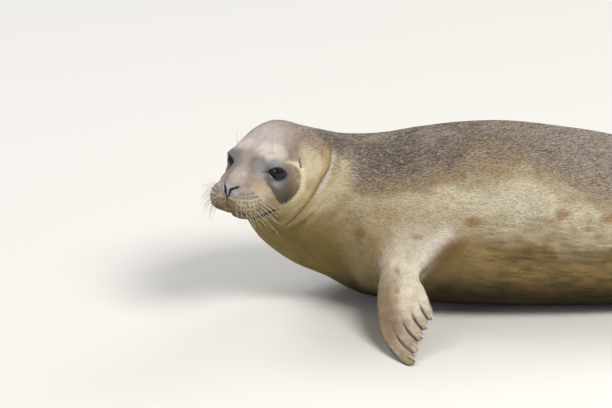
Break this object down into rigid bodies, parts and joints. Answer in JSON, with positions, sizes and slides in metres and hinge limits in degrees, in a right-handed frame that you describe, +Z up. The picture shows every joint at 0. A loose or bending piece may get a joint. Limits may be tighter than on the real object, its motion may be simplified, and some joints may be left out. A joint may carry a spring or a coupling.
{
  "type": "harbor seal",
  "caption": "Young harbor seal lying on its belly, head raised and turned to its left, foreflippers spread on the floor and hind flippers trailing.",
  "frame": {"origin": "on the floor under the middle of the belly, where the flat underside of the belly rests", "axes": "+X towards the tail, -X towards the head, +Z up, -Y the animal's left side"},
  "size_m": [1.1427, 0.569, 0.2969],
  "materials": {
    "coat": "short, dense, flat-lying fur, cream and grey-brown with small darker spots",
    "flipper_coat": "very short pale fur over the flippers, darker in the clefts between the toes",
    "nose": "moist blue-grey bare skin with slit nostrils",
    "eye": "large, dark and wet",
    "claw": "pale horn with darker roots",
    "whisker": "pale stiff hairs with darker roots"
  },
  "bodies": {
    "root": {"head": "coat", "lower_jaw": "coat", "neck": "coat", "chest": "coat", "belly": "coat", "hindquarters": "coat", "tail": "coat", "foreflipper_left": "flipper_coat", "foreflipper_right": "flipper_coat", "hindflipper_left": "flipper_coat", "hindflipper_right": "flipper_coat", "nose_pad": "nose", "eye_left": "eye", "eye_right": "eye", "foreclaw_left_1": "claw", "foreclaw_left_2": "claw", "foreclaw_left_3": "claw", "foreclaw_left_4": "claw", "foreclaw_left_5": "claw", "foreclaw_right_1": "claw", "foreclaw_right_2": "claw", "foreclaw_right_3": "claw", "foreclaw_right_4": "claw", "foreclaw_right_5": "claw", "hindclaw_left_1": "claw", "hindclaw_left_2": "claw", "hindclaw_left_3": "claw", "hindclaw_left_4": "claw", "hindclaw_left_5": "claw", "hindclaw_right_1": "claw", "hindclaw_right_2": "claw", "hindclaw_right_3": "claw", "hindclaw_right_4": "claw", "hindclaw_right_5": "claw"}
  },
  "joints": []
}
